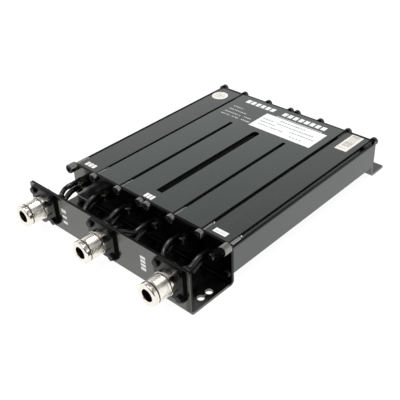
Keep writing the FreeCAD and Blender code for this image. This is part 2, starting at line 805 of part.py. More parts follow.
def make_ports():
    """Port bushes of the cavities and the coupling loops behind them."""
    bushes = []
    loops = []
    for place in range(CAVITIES):
        across = cavity_centre(place) + " - port_side"
        for level in ("port_upper", "port_lower"):
            tag = "%s%d" % (level, place)
            collar = cylinder(
                "Collar" + tag, FORWARD, across, "-metal", level,
                "port_flange_radius", "port_flange_length",
            )
            barrel = cylinder("Bush" + tag, FORWARD, across, "-metal", level, "port_radius", "port_reach")
            stub = cylinder(
                "Stub" + tag, REARWARD, across, "-metal", level, "port_stub", "metal + port_inside",
            )
            bushes.append(fuse("Port" + tag, [collar, barrel, stub]))
        x = number(across)
        near = number("port_inside")
        far = number("loop_reach")
        upper = number("port_upper")
        lower = number("port_lower")
        route = [
            Vector(x, near, upper), Vector(x, far, upper), Vector(x, far, lower), Vector(x, near, lower),
        ]
        loops.append(tube("coupling_loop_%d" % (place + 1), route, number("loop_radius")))
    keep("port_bushes", group("PortBushes", bushes))
    keep("coupling_loops", group("CouplingLoops", loops))


def port_end(place, level):
    """The outer end of a port bush."""
    return Vector(
        number(cavity_centre(place) + " - port_side"), number("-metal - port_reach"), number(level),
    )


def barrel_end(across):
    """The rear end of a connector's contact."""
    return Vector(
        number(across), number("-bay_depth + barrel_rear + contact_rear"), number("connector_height"),
    )


def jumper(label, first, leaving, arriving, last):
    """A coaxial jumper; its points are shares of the bay's free depth from the nearer end."""
    room = number("bay_depth - barrel_rear - contact_rear - metal - port_reach")
    points = [first]
    points += [first.add(Vector(*share) * room) for share in leaving]
    points += [last.add(Vector(*share) * room) for share in arriving]
    points.append(last)
    keep(label, tube(label, points, number("cable_radius")))


def neighbour_jumper(label, place, level, reach, drop, lean):
    """A loop from one cavity's port to the same port of the next; lean moves its middle sideways."""
    first = port_end(place, level)
    last = port_end(place + 1, level)
    half = number("cavity_pitch / 2") / number("bay_depth - barrel_rear - contact_rear - metal - port_reach")
    jumper(
        label, first,
        [(0, -0.13, 0), (0.02 + lean, -0.6 * reach, -0.75 * drop)],
        [(-half + 2 * lean, -reach, -drop), (lean - 0.02, -0.6 * reach, -0.75 * drop), (0, -0.13, 0)],
        last,
    )


def make_jumpers():
    """Cables between connectors and cavities, and from cavity to cavity."""
    jumper(
        "jumper_left_port", barrel_end("-connector_step"),
        [(0, 0.3, 0), (-0.2, 0.2, -0.34)],
        [(-0.056, -0.51, -0.25), (-0.1, -0.28, -0.08), (0, -0.13, 0)],
        port_end(0, "port_upper"),
    )
    neighbour_jumper("jumper_1_2", 0, "port_lower", 0.84, 0.3, 0.02)
    neighbour_jumper("jumper_2_3", 1, "port_upper", 0.86, 0.32, -0.02)
    side = Vector(number("cable_radius + port_flange_radius / 4"), 0, 0)
    jumper(
        "jumper_3_antenna", port_end(2, "port_lower"),
        [(0, -0.13, 0), (0.05, -0.5, -0.2)],
        [(-0.2, 0.3, -0.34), (0, 0.28, 0)],
        barrel_end("0").sub(side),
    )
    jumper(
        "jumper_antenna_4", barrel_end("0").add(side),
        [(0, 0.2, 0)],
        [(-0.03, -0.45, -0.1), (0, -0.17, 0)],
        port_end(3, "port_upper"),
    )
    neighbour_jumper("jumper_4_5", 3, "port_lower", 0.82, 0.28, -0.03)
    neighbour_jumper("jumper_5_6", 4, "port_upper", 0.84, 0.26, 0.03)
    jumper(
        "jumper_right_port", port_end(5, "port_lower"),
        [(0, -0.13, 0), (0.03, -0.5, -0.2)],
        [(0, 0.3, -0.34), (0, 0.28, 0)],
        barrel_end("connector_step"),
    )


def make_labels():
    """Blank labels on the cover sheet and on the two outer cavities."""
    keep(
        "white_label",
        box(
            "WhiteLabel", "-label_left", "block_length - label_back - label_depth",
            BLOCK_TOP + " + cover_thickness",
            "label_width", "label_depth", "label_thickness",
        ),
    )
    keep(
        "round_label",
        cylinder(
            "RoundLabel", UPWARD, cavity_centre(0) + " - round_label_side",
            "block_length - round_label_back", BLOCK_TOP,
            "round_label_radius", "label_thickness",
        ),
    )
    keep(
        "strip_label",
        box(
            "StripLabel", cavity_centre(CAVITIES - 1) + " - strip_side - strip_width / 2",
            "block_length - strip_back - strip_depth", BLOCK_TOP,
            "strip_width", "strip_depth", "label_thickness",
        ),
    )


make_blocks()
make_cover()
make_front_bracket()
make_rear_bracket()
for name, across in CONNECTORS:
    make_shell(name, across)
    make_flange(name, across)
    make_connector_inside(name, across)
make_connector_fixings()
make_tie_screws()
make_resonators()
make_tuners()
make_ports()
make_jumpers()
make_labels()

doc.recompute()
for piece in doc.Objects:
    if "Invalid" in piece.State or "Error" in piece.State:
        raise RuntimeError("failed object: " + piece.Name)
os.makedirs("parts", exist_ok=True)
for label, piece in nodes.items():
    shape = piece.Shape
    if shape.isNull() or not shape.isValid() or not shape.Solids:
        raise RuntimeError("bad shape: " + label)
    if shape.ShapeType == "Compound" and len(shape.Solids) == 1:
        shape = shape.Solids[0]
    shape.exportStep("parts/" + label + ".step")
print(len(nodes), "sub-parts written")
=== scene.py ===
import json
import math

import bmesh
import bpy
from mathutils import Matrix, Vector

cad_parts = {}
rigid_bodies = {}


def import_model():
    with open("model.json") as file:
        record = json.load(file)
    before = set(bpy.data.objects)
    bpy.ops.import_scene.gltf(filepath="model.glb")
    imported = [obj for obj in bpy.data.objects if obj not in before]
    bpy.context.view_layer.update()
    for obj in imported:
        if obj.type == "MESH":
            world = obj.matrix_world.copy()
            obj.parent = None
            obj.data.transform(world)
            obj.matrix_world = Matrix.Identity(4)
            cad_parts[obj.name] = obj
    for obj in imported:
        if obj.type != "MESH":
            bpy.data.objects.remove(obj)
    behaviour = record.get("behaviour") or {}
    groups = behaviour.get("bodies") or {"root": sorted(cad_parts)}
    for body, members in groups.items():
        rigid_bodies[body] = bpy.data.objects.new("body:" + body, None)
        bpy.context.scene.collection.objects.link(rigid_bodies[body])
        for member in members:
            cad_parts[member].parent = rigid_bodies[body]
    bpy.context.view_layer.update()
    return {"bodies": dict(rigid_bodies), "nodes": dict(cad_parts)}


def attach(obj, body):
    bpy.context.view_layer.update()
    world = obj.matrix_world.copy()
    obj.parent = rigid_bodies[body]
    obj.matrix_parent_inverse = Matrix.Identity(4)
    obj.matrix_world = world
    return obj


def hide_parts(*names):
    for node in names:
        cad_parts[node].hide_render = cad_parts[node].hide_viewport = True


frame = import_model()
nodes = frame["nodes"]

# Sizes in millimetres, in the frame's axes: x along the connector panel, y to the rear, z up.
MM = 0.001
ROOT = "duplexer"
CAVITY_FRONT = 21.3
CAVITY_X = [-64.5, -38.9, -13.3, 13.3, 38.9, 64.5]
SOCKET_X = [-61.3, 0.0, 61.3]
SOCKET_Z = 21.0
SOCKET_REACH = 19.9
COLLAR_END = 6.55
FLANGE_SCREW = 9.13
SHEET = 2.0
PANEL_FACE = CAVITY_FRONT - 39.5
FLANGE_FACE = PANEL_FACE - 2.0
PLATE_FACE = CAVITY_FRONT - SHEET
REAR_FACE = CAVITY_FRONT + 164.5
COLUMN_X = [-74.45, -51.7, -26.1, -3.35, 3.35, 26.1, 51.7, 74.45]
UPPER_ROW = 29.1
LOWER_ROW = 9.0
AXIS_Z = 19.05
PORT_SIDE = 6.8
PORT_LEVELS = [17.8, 12.8]
COVER_TOP = 31.2
BLOCK_TOP = 30.8
LABEL_TOP = 0.15
INK_HEIGHT = 0.06
DARK_CLOTH = (0.64, -0.66, 0.39)


def clear_stock():
    """Blender's own start objects go; the frame's stay."""
    kept = set(nodes.values()) | set(frame["bodies"].values())
    for piece in list(bpy.data.objects):
        if piece not in kept:
            bpy.data.objects.remove(piece)


clear_stock()


class Wire:
    """A node's socket that can be used in sums and products."""

    def __init__(self, tree, socket):
        self.tree = tree
        self.socket = socket

    def calc(self, operation, *others):
        """A Math node on this socket."""
        return self.tree.node("ShaderNodeMath", {"operation": operation}, [self, *others])

    def __add__(self, other):
        return self.calc("ADD", other)

    def __radd__(self, other):
        return self.calc("ADD", other)

    def __sub__(self, other):
        return self.calc("SUBTRACT", other)

    def __rsub__(self, other):
        return self.tree.node("ShaderNodeMath", {"operation": "SUBTRACT"}, [other, self])

    def __mul__(self, other):
        return self.calc("MULTIPLY", other)

    def __rmul__(self, other):
        return self.calc("MULTIPLY", other)

    def __truediv__(self, other):
        return self.calc("DIVIDE", other)


class Tree:
    """A node tree that is built by calls."""

    def __init__(self, tree):
        self.tree = tree

    def feed(self, socket, value):
        """Give a socket a link, several links or a value."""
        if isinstance(value, Wire):
            self.tree.links.new(value.socket, socket)
        elif isinstance(value, list):
            for one in value:
                self.tree.links.new(one.socket, socket)
        elif value is not None:
            socket.default_value = value

    def node(self, kind, settings=None, inputs=(), out=0):
        """A node: its settings first, then values or wires for its sockets; returns one output."""
        made = self.tree.nodes.new(kind)
        for key, value in (settings or {}).items():
            if key == "stops":
                ramp = made.color_ramp
                while len(ramp.elements) < len(value):
                    ramp.elements.new(0.5)
                for element, (place, shade) in zip(ramp.elements, value):
                    element.position = place
                    shade = shade if isinstance(shade, tuple) else (shade, shade, shade)
                    element.color = (*shade, 1.0)
            else:
                setattr(made, key, value)
        pairs = inputs.items() if isinstance(inputs, dict) else enumerate(inputs)
        for key, value in pairs:
            self.feed(made.inputs[key], value)
        return Wire(self, made.outputs[out]) if len(made.outputs) else made


def mix(tree, share, first, second):
    """A colour between two."""
    first, second = [(*shade, 1.0) if isinstance(shade, tuple) else shade for shade in (first, second)]
    return tree.node("ShaderNodeMix", {"data_type": "RGBA"}, {0: share, 6: first, 7: second}, out=2)


class Finish:
    """A material whose shader is built from a few procedural layers."""

    def __init__(self, name, look):
        self.material = bpy.data.materials.new(name)
        self.material.use_nodes = True
        self.tree = Tree(self.material.node_tree)
        self.material.node_tree.nodes.clear()
        self.place = self.tree.node("ShaderNodeTexCoord", out="Object")
        self.shader = {}
        look(self)
        self.tree.node("ShaderNodeOutputMaterial", inputs={
            "Surface": self.tree.node("ShaderNodeBsdfPrincipled", inputs=self.shader),
        })

    def noise(self, size, detail=2.0, stretch=None):
        """Noise whose blotches are about size millimetres."""
        spot = self.place
        if stretch:
            spot = self.tree.node("ShaderNodeMapping", inputs={"Vector": spot, "Scale": stretch})
        return self.tree.node(
            "ShaderNodeTexNoise", inputs={"Vector": spot, "Scale": 1.0 / (size * MM), "Detail": detail},
        )

    def axis(self, place):
        """X, Y or Z of a point in millimetres."""
        return self.tree.node("ShaderNodeSeparateXYZ", inputs=[self.place], out=place) * 1000.0

    def ramp(self, wire, stops):
        """A colour ramp on a value."""
        return self.tree.node("ShaderNodeValToRGB", {"stops": stops}, [wire])

    def bump(self, height, depth):
        """Relief of a depth in millimetres."""
        self.shader["Normal"] = self.tree.node(
            "ShaderNodeBump", inputs={"Strength": 1.0, "Distance": depth * MM, "Height": height},
        )


def shaded(base, factor):
    """A darker or lighter tone of a colour."""
    return tuple(channel * factor for channel in base)


def coated(base, roughness, grain_size, grain_depth, drawn=None, shade_mask=None):
    """A dark glossy coat on metal: slow changes of shade, fine grain, dust and faint handling marks, and
    painted shade where a mask is given.
    """
    def look(finish):
        slow = finish.noise(26.0, 3.0)
        grain = finish.noise(grain_size, 2.0, drawn)
        dust = finish.ramp(finish.noise(0.7, 4.0), [(0.68, 0.0), (0.74, 1.0)])
        rubbed = finish.ramp(finish.noise(7.0, 4.0, (1.0, 0.35, 1.0)), [(0.52, 0.0), (0.72, 1.0)])
        tone = mix(finish.tree, slow, shaded(base, 0.95), shaded(base, 1.05))
        tone = mix(finish.tree, grain * 0.3, tone, shaded(base, 1.16))
        tone = mix(finish.tree, dust * 0.16, tone, (0.26, 0.26, 0.25))
        # Painted shade: where a mask is given, the tone goes dark, down to a tenth of the base.
        if shade_mask:
            tone = mix(finish.tree, shade_mask(finish), tone, shaded(base, 0.10))
        finish.shader["Base Color"] = tone
        finish.shader["Roughness"] = (
            roughness + (grain - 0.5) * 0.05 + (slow - 0.5) * 0.03 + rubbed * 0.04 + dust * 0.06
        )
        finish.shader["Metallic"] = 1.0
        finish.bump(grain, grain_depth)
    return look


def bracket_painted_shade(finish):
    """Painted shade on the brackets: dark inside the bay and over the bend between plate and floor, and a
    painted reflection darkening the panel's face at its right end; the sheets are also darker along their
    top edges and at the rear sheet's ends.
    """
    along = finish.axis(1)
    height = finish.axis(2)
    # Painted shade in the bay, fading out at the left end of the plate, which stays lit.
    in_bay = clipped((along - PANEL_FACE - 0.5) * 4.0) * clipped((CAVITY_FRONT + 20.0 - along) * 4.0)
    walls = clipped((height - 2.3) * 4.0)
    bend = clipped((along - PLATE_FACE + 3.0) * 2.0)
    lit_end = clipped((finish.axis(0) + 66.0) * 0.2)
    inside = in_bay * walls.calc("MAXIMUM", bend) * lit_end
    # Darker along the top edges of the sheets and at the rear sheet's ends.
    upper_edge = clipped((height - 30.7) * 4.0) * clipped((along - PANEL_FACE - 0.2) * 4.0)
    rear_edge = clipped((along - REAR_FACE + 2.4) * 4.0) * clipped((height - 2.8) * 4.0)
    rear_edge = rear_edge * clipped((finish.axis(0).calc("ABSOLUTE") - 77.6) * 6.0)
    # Painted reflection: the panel's face darker at its right end.
    right_end = clipped(finish.axis(0) - 73.0) * clipped((PANEL_FACE + 0.3 - along) * 4.0) * 0.55
    return inside.calc("MAXIMUM", upper_edge).calc("MAXIMUM", rear_edge).calc("MAXIMUM", right_end)


def groove_painted_shade(finish):
    """Painted shade: black in the corner grooves of the extrusions and in the gap under the cover's middle
    slot, where shade falls.
    """
    across = finish.axis(0).calc("ABSOLUTE")
    height = finish.axis(2)
    corner = clipped((across - 75.4) * 4.0) * clipped((height - 28.2) * 4.0)
    middle = clipped((6.0 - across) * 4.0) * clipped((height - 24.0) * 4.0)
    return corner.calc("MAXIMUM", middle)


def beside_socket(finish):
    """How far a point lies to the right of the nearest socket's axis."""
    across = finish.axis(0)
    return across - (across + SOCKET_X[2] * 0.5).calc("SNAP", SOCKET_X[2])


def flange_painted_shade(finish):
    """Painted reflection and shadow of the socket: a flange grows darker from just left of its socket's
    axis towards its right.
    """
    return clipped((beside_socket(finish) + 6.0) * 0.09) * 0.85


def clipped(wire):
    """A value kept between 0 and 1."""
    return wire.calc("MAXIMUM", 0.0).calc("MINIMUM", 1.0)


def plated(base, roughness, streak, dark=None, shade_colour=(0.03, 0.03, 0.03)):
    """Bright turned metal with fine tool rings and faint stains, and painted shade in a dark colour where a
    mask is given.
    """
    def look(finish):
        rings = finish.noise(streak, 1.0, (0.05, 1.0, 0.05))
        stain = finish.ramp(finish.noise(3.0, 4.0), [(0.42, 0.0), (0.78, 1.0)])
        tone = mix(finish.tree, stain, base, shaded(base, 0.86))
        # Painted shade: the mask mixes the tone towards a dark colour.
        finish.shader["Base Color"] = mix(finish.tree, dark(finish), tone, shade_colour) if dark else tone
        finish.shader["Roughness"] = roughness + (rings - 0.5) * 0.08 + stain * 0.07
        finish.shader["Metallic"] = 1.0
        finish.bump(rings, 0.004)
    return look


def near(wire, middle, half):
    """A band around a place, with soft sides."""
    return clipped((half - (wire - middle).calc("ABSOLUTE")) * 6.0 + 0.5)


def socket_painted_shade(finish):
    """Painted shade in the two grooves of a socket's shell and inside its mouth."""
    reach = PANEL_FACE - finish.axis(1)
    grooves = near(reach, SOCKET_REACH - 3.58, 0.36) + near(reach, COLLAR_END, 0.26)
    sideways = beside_socket(finish)
    upward = finish.axis(2) - SOCKET_Z
    radius = (sideways * sideways + upward * upward).calc("SQRT")
    mouth = clipped((4.75 - radius) * 8.0) * clipped((SOCKET_REACH - 0.5 - reach) * 4.0) * 0.8
    return grooves.calc("MAXIMUM", mouth).calc("MINIMUM", 0.94)


def head_painted_shade(finish):
    """Painted shade on the tie screws: the front heads darker, darkest on their front faces, and the rear
    screws darker, with blotchy strength except on the faces.
    """
    ahead = PLATE_FACE - finish.axis(1)
    side = clipped((ahead - 0.1) * 4.0) * 0.34
    outermost = clipped((finish.axis(0).calc("ABSOLUTE") - 66.0) * 4.0)
    face = clipped((ahead - 2.8 - outermost * 2.95) * 6.0)
    back = clipped((finish.axis(1) - REAR_FACE + 16.0) * 0.5)
    blotch = finish.ramp(finish.noise(1.2, 3.0), [(0.35, 0.8), (0.7, 1.0)])
    return (side.calc("MAXIMUM", back) * blotch).calc("MAXIMUM", face)


def moulded(base, roughness, grain_size, grain_depth, gloss):
    """Plastic or rubber with a faint skin."""
    def look(finish):
        slow = finish.noise(5.0, 2.0)
        grain = finish.noise(grain_size, 2.0)
        finish.shader["Base Color"] = mix(finish.tree, slow, base, shaded(base, 1.6))
        finish.shader["Roughness"] = roughness + (grain - 0.5) * 0.12
        finish.shader["Specular IOR Level"] = gloss
        finish.bump(grain, grain_depth)
    return look


def paper(base, stain):
    """Label film with a light yellowing."""
    def look(finish):
        slow = finish.ramp(finish.noise(9.0, 3.0), [(0.4, 0.0), (0.8, 1.0)])
        fibre = finish.noise(0.3, 2.0)
        finish.shader["Base Color"] = mix(finish.tree, slow, base, stain)
        finish.shader["Roughness"] = 0.5 + (fibre - 0.5) * 0.1
        finish.bump(fibre, 0.006)
    return look


def ink(shade):
    """Printing ink on a coat, thin in places."""
    def look(finish):
        thin = finish.ramp(finish.noise(0.35, 2.0), [(0.45, 0.0), (0.7, 1.0)])
        finish.shader["Base Color"] = mix(finish.tree, thin, shade, shaded(shade, 0.82))
        finish.shader["Roughness"] = 0.45 + thin * 0.1
    return look


# Finishes given a mask (the extrusion, bracket and flange coats, tie_steel and nickel) carry painted shade.
FINISHES = {
    "cover_coat": coated((0.128, 0.140, 0.137), 0.24, 0.22, 0.002),
    "extrusion_coat": coated((0.118, 0.124, 0.122), 0.26, 0.30, 0.003, (1.0, 0.06, 1.0), groove_painted_shade),
    "bracket_coat": coated((0.129, 0.130, 0.124), 0.17, 0.35, 0.002, None, bracket_painted_shade),
    "flange_coat": coated((0.046, 0.048, 0.047), 0.24, 0.30, 0.002, None, flange_painted_shade),
    "black_oxide": coated((0.022, 0.023, 0.023), 0.30, 0.30, 0.004),
    "tie_steel": plated((0.40, 0.405, 0.395), 0.28, 0.30, head_painted_shade, (0.026, 0.027, 0.027)),
    "nickel": plated((0.90, 0.865, 0.79), 0.12, 0.25, socket_painted_shade, (0.036, 0.030, 0.024)),
    "brass": plated((0.72, 0.55, 0.30), 0.24, 0.30),
    "dull_brass": plated((0.15, 0.135, 0.105), 0.20, 0.30),
    "silver": plated((0.74, 0.73, 0.70), 0.22, 0.30),
    "socket_plastic": moulded((0.52, 0.39, 0.27), 0.42, 0.5, 0.01, 0.5),
    "cable_skin": moulded((0.004, 0.004, 0.005), 0.22, 0.8, 0.004, 0.45),
    "label_film": paper((0.93, 0.935, 0.94), (0.88, 0.885, 0.89)),
    "label_cream": paper((0.86, 0.83, 0.76), (0.80, 0.76, 0.67)),
    "white_ink": ink((0.94, 0.94, 0.93)),
    "pale_ink": ink((0.56, 0.57, 0.57)),
    "mid_ink": ink((0.40, 0.41, 0.41)),
}
FINISHES = {name: Finish(name, look).material for name, look in FINISHES.items()}


def dress(node, finish):
    """A CAD node keeps its shape and gets a finish."""
    piece = nodes[node]
    piece.data.materials.clear()
    piece.data.materials.append(FINISHES[finish])


def settle(piece, finish, body=ROOT, stands_for=()):
    """A finished piece: its material, its body and the nodes that it stands for."""
    piece.data.materials.clear()
    piece.data.materials.append(FINISHES[finish])
    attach(piece, body)
    if stands_for:
        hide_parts(*stands_for)
    return piece


def from_data(name, data):
    """A new object for a mesh or a curve."""
    piece = bpy.data.objects.new(name, data)
    bpy.context.scene.collection.objects.link(piece)
    return piece


def applied(piece):
    """A piece as a plain mesh, with its modifiers made part of it."""
    bpy.context.view_layer.update()
    graph = bpy.context.evaluated_depsgraph_get()
    mesh = bpy.data.meshes.new_from_object(piece.evaluated_get(graph), depsgraph=graph)
    name = piece.name
    bpy.data.objects.remove(piece)
    mesh.name = name
    return from_data(name, mesh)


def shade(piece, angle):
    """Smooth shading up to an angle, with flat faces kept flat by their own weight."""
    mesh = piece.data
    mesh.polygons.foreach_set("use_smooth", [True] * len(mesh.polygons))
    limit = math.radians(angle)
    body = bmesh.new()
    body.from_mesh(mesh)
    for edge in body.edges:
        edge.smooth = len(edge.link_faces) == 2 and edge.calc_face_angle(0.0) < limit
    body.to_mesh(mesh)
    body.free()
    even = piece.modifiers.new("even", "WEIGHTED_NORMAL")
    even.keep_sharp = True
    return applied(piece)


def softened(name, node, finish, width, body=ROOT):
    """A copy of a CAD node with its sharp edges broken, as paint and tumbling leave them."""
    shape = bmesh.new()
    shape.from_mesh(nodes[node].data)
    bmesh.ops.remove_doubles(shape, verts=shape.verts, dist=2e-6)
    bmesh.ops.dissolve_limit(
        shape, angle_limit=math.radians(1.0), verts=shape.verts, edges=shape.edges,
        use_dissolve_boundaries=False,
    )
    mesh = bpy.data.meshes.new(name)
    shape.to_mesh(mesh)
    shape.free()
    piece = from_data(name, mesh)
    edge = piece.modifiers.new("edge", "BEVEL")
    edge.width = width * MM
    edge.segments = 2
    edge.limit_method = "ANGLE"
    edge.angle_limit = math.radians(40)
    edge.use_clamp_overlap = True
    return settle(shade(applied(piece), 35), finish, body, [node])


class Recipe:
    """A Geometry Nodes tree with named sizes in millimetres, run on a layout of points or curves."""

    def __init__(self, name, sizes, build):
        self.group = bpy.data.node_groups.new(name, "GeometryNodeTree")
        self.tree = Tree(self.group)
        self.keys = {}
        self.socket("Layout", "NodeSocketGeometry")
        for label, value in sizes.items():
            kind = "NodeSocketInt" if isinstance(value, int) else "NodeSocketFloat"
            self.socket(label, kind).default_value = value
        self.socket("Finish", "NodeSocketMaterial")
        self.group.interface.new_socket("Pieces", in_out="OUTPUT", socket_type="NodeSocketGeometry")
        self.entry = self.group.nodes.new("NodeGroupInput")
        solid = self.tree.node("GeometryNodeRealizeInstances", inputs=[build(self)])
        metres = self.tree.node("GeometryNodeTransform", inputs={"Geometry": solid, "Scale": (MM, MM, MM)})
        dressed = self.tree.node(
            "GeometryNodeSetMaterial", inputs={"Geometry": metres, "Material": self.size("Finish")},
        )
        self.tree.node("NodeGroupOutput", inputs=[dressed])

    def socket(self, label, kind):
        """A named input."""
        made = self.group.interface.new_socket(label, in_out="INPUT", socket_type=kind)
        self.keys[label] = made.identifier
        return made

    def size(self, label):
        """What comes in by a name."""
        return Wire(self.tree, self.entry.outputs[label])

    def vector(self, x=0.0, y=0.0, z=0.0):
        """Three numbers as a vector."""
        return self.tree.node("ShaderNodeCombineXYZ", inputs=[x, y, z])

    def moved(self, shape, z):
        """A shape raised to a level."""
        return self.tree.node(
            "GeometryNodeTransform", inputs={"Geometry": shape, "Translation": self.vector(z=z)},
        )

    def prism(self, sides, radius, height, foot=0.0):
        """An upright prism that stands on a level."""
        block = self.tree.node(
            "GeometryNodeMeshCylinder", inputs={"Vertices": sides, "Radius": radius, "Depth": height},
        )
        return self.moved(block, height * 0.5 + foot)

    def hexagon(self, corner, height):
        """An upright hexagon whose upper corners are chamfered."""
        wide = corner * 0.88
        return self.common(self.prism(6, corner, height), self.cone(32, wide, wide + height * 1.73, height))

    def cone(self, sides, top, bottom, height, foot=0.0):
        """An upright blunt cone that stands on a level."""
        block = self.tree.node("GeometryNodeMeshCone", inputs={
            "Vertices": sides, "Radius Top": top, "Radius Bottom": bottom, "Depth": height,
        })
        return self.moved(block, foot)

    def common(self, first, second):
        """What two solids share."""
        return self.tree.node(
            "GeometryNodeMeshBoolean", {"operation": "INTERSECT", "solver": "EXACT"},
            {"Mesh 2": [first, second]},
        )

    def less(self, first, second):
        """One solid without another."""
        return self.tree.node(
            "GeometryNodeMeshBoolean", {"operation": "DIFFERENCE", "solver": "EXACT"},
            {"Mesh 1": first, "Mesh 2": [second]},
        )

    def together(self, *shapes):
        """Several shapes as one."""
        return self.tree.node("GeometryNodeJoinGeometry", inputs={"Geometry": list(shapes)})

    def sweep(self, path, profile):
        """A closed tube along a path."""
        return self.tree.node(
            "GeometryNodeCurveToMesh", inputs={"Curve": path, "Profile Curve": profile, "Fill Caps": True},
        )

    def ring(self, sides, radius):
        """A round profile."""
        return self.tree.node(
            "GeometryNodeCurvePrimitiveCircle", inputs={"Resolution": sides, "Radius": radius},
        )

    def thread(self, radius, length, pitch, top):
        """A threaded rod that hangs down from a level."""
        core = self.prism(16, radius - pitch * 0.45, length, top - length)
        spiral = self.tree.node("GeometryNodeCurveSpiral", inputs={
            "Resolution": 12, "Rotations": length / pitch - 1.0, "Start Radius": radius - pitch * 0.4,
            "End Radius": radius - pitch * 0.4, "Height": length - pitch,
        })
        ridge = self.sweep(spiral, self.ring(3, pitch * 0.46))
        return self.together(core, self.moved(ridge, top - length + pitch * 0.5))

    def placed(self, pattern):
        """Copies of an upright pattern on the layout's points, facing along Y, each at its own angle."""
        quarter = self.vector(x=self.size("Facing") * (math.pi / 2))
        tilt = self.tree.node("FunctionNodeEulerToRotation", inputs=[quarter])
        leaning = self.tree.node("GeometryNodeTransform", inputs={"Geometry": pattern, "Rotation": tilt})
        spin = self.tree.node(
            "FunctionNodeRandomValue", {"data_type": "FLOAT"},
            {2: 0.0, 3: 2.0 * math.pi, "Seed": self.size("Seed")}, out=1,
        )
        turn = self.tree.node("FunctionNodeEulerToRotation", inputs=[self.vector(y=spin)])
        return self.tree.node("GeometryNodeInstanceOnPoints", inputs={
            "Points": self.size("Layout"), "Instance": leaning, "Rotation": turn,
        })

    def make(self, name, layout, finish, sizes=None, angle=35, body=ROOT, stands_for=()):
        """Run the tree on a layout and settle the plain mesh that it gives."""
        start = from_data(name, layout)
        step = start.modifiers.new("recipe", "NODES")
        step.node_group = self.group
        for label, value in (sizes or {}).items():
            step[self.keys[label]] = value
        step[self.keys["Finish"]] = FINISHES[finish]
        return settle(shade(applied(start), angle), finish, body, stands_for)


def hex_head(recipe):
    """Hexagon head with a chamfered top on a plain washer."""
    corner = recipe.size("Corner")
    block = recipe.hexagon(corner, recipe.size("Height"))
    washer = recipe.prism(28, corner + recipe.size("Washer"), recipe.size("Washer height"))
    return recipe.placed(recipe.together(block, washer))


def hex_nut(recipe):
    """Hexagon nut, chamfered on its top, with a bore."""
    height = recipe.size("Height")
    bore = recipe.prism(28, recipe.size("Bore"), height + 2.0, -1.0)
    return recipe.placed(recipe.less(recipe.hexagon(recipe.size("Corner"), height), bore))


def cap_screw(recipe):
    """Knurled cap screw with a hexagon socket and a shank that is threaded beyond its plain part."""
    radius = recipe.size("Radius")
    height = recipe.size("Height")
    tree = recipe.tree
    head = recipe.prism(56, radius, height)
    odd = Wire(tree, tree.tree.nodes.new("GeometryNodeInputIndex").outputs[0]).calc("MODULO", 2.0)
    inward = 1.0 - odd * recipe.size("Knurl") / radius
    place = tree.node("GeometryNodeInputPosition")
    knurled = tree.node("GeometryNodeSetPosition", inputs={
        "Geometry": head,
        "Position": tree.node(
            "ShaderNodeVectorMath", {"operation": "MULTIPLY"}, [place, recipe.vector(inward, inward, 1.0)],
        ),
    })
    head = recipe.common(knurled, recipe.cone(56, radius * 0.88, radius * 0.88 + height, height))
    depth = recipe.size("Socket depth")
    head = recipe.less(head, recipe.prism(6, recipe.size("Socket"), depth + 1.0, height - depth))
    plain = recipe.size("Plain length")
    neck = recipe.prism(24, recipe.size("Shank"), plain, 0.2 - plain)
    shank = recipe.thread(recipe.size("Shank"), recipe.size("Shank length"), recipe.size("Pitch"), 0.2)
    return recipe.placed(recipe.together(head, neck, shank))


def tuning_screw(recipe):
    """Threaded rod with a screwdriver slot in its end; the layout's point is the end's middle."""
    radius = recipe.size("Radius")
    length = recipe.size("Length")
    depth = recipe.size("Slot depth")
    tip = recipe.common(
        recipe.prism(28, radius, 2.4, -2.4), recipe.cone(28, radius * 0.84, radius * 0.84 + 2.4, 2.4, -2.4),
    )
    slot = recipe.tree.node("GeometryNodeMeshCube", inputs={
        "Size": recipe.vector(radius * 3.0, recipe.size("Slot"), depth * 2.0),
    })
    rod = recipe.thread(radius, length - 2.2, recipe.size("Pitch"), -2.2)
    return recipe.placed(recipe.together(recipe.less(tip, slot), rod))


def ferrule(recipe):
    """Crimped sleeve on a hexagon foot, with rings along it and a stub behind the foot."""
    radius = recipe.size("Radius")
    length = recipe.size("Length")
    foot = recipe.prism(6, recipe.size("Foot"), 1.0)
    sleeve = recipe.prism(24, radius, length)
    count = recipe.size("Rings")
    tree = recipe.tree
    spots = tree.node("GeometryNodeMeshLine", {"mode": "OFFSET"}, {
        "Count": count, "Start Location": recipe.vector(z=length * 0.32),
        "Offset": recipe.vector(z=length * 0.58 / count),
    })
    rings = tree.node("GeometryNodeInstanceOnPoints", inputs={
        "Points": spots, "Instance": recipe.prism(24, radius + recipe.size("Ring height"), 0.45),
    })
    stub = recipe.prism(24, recipe.size("Stub"), 2.6, -2.5)
    return recipe.placed(recipe.together(foot, sleeve, rings, stub))


def jackets(recipe):
    """Cable jackets along the layout's curves, with a shrunk sleeve on both ends."""
    path = recipe.size("Layout")
    radius = recipe.size("Radius")
    sides = recipe.size("Sides")
    tubes = [recipe.sweep(path, recipe.ring(sides, radius))]
    for first, last in ((0.0, recipe.size("Sleeve share")), (1.0 - recipe.size("Sleeve share"), 1.0)):
        end = recipe.tree.node(
            "GeometryNodeTrimCurve", {"mode": "FACTOR"}, {"Curve": path, 2: first, 3: last},
        )
        tubes.append(recipe.sweep(end, recipe.ring(sides, radius + recipe.size("Sleeve height"))))
    return recipe.together(*tubes)


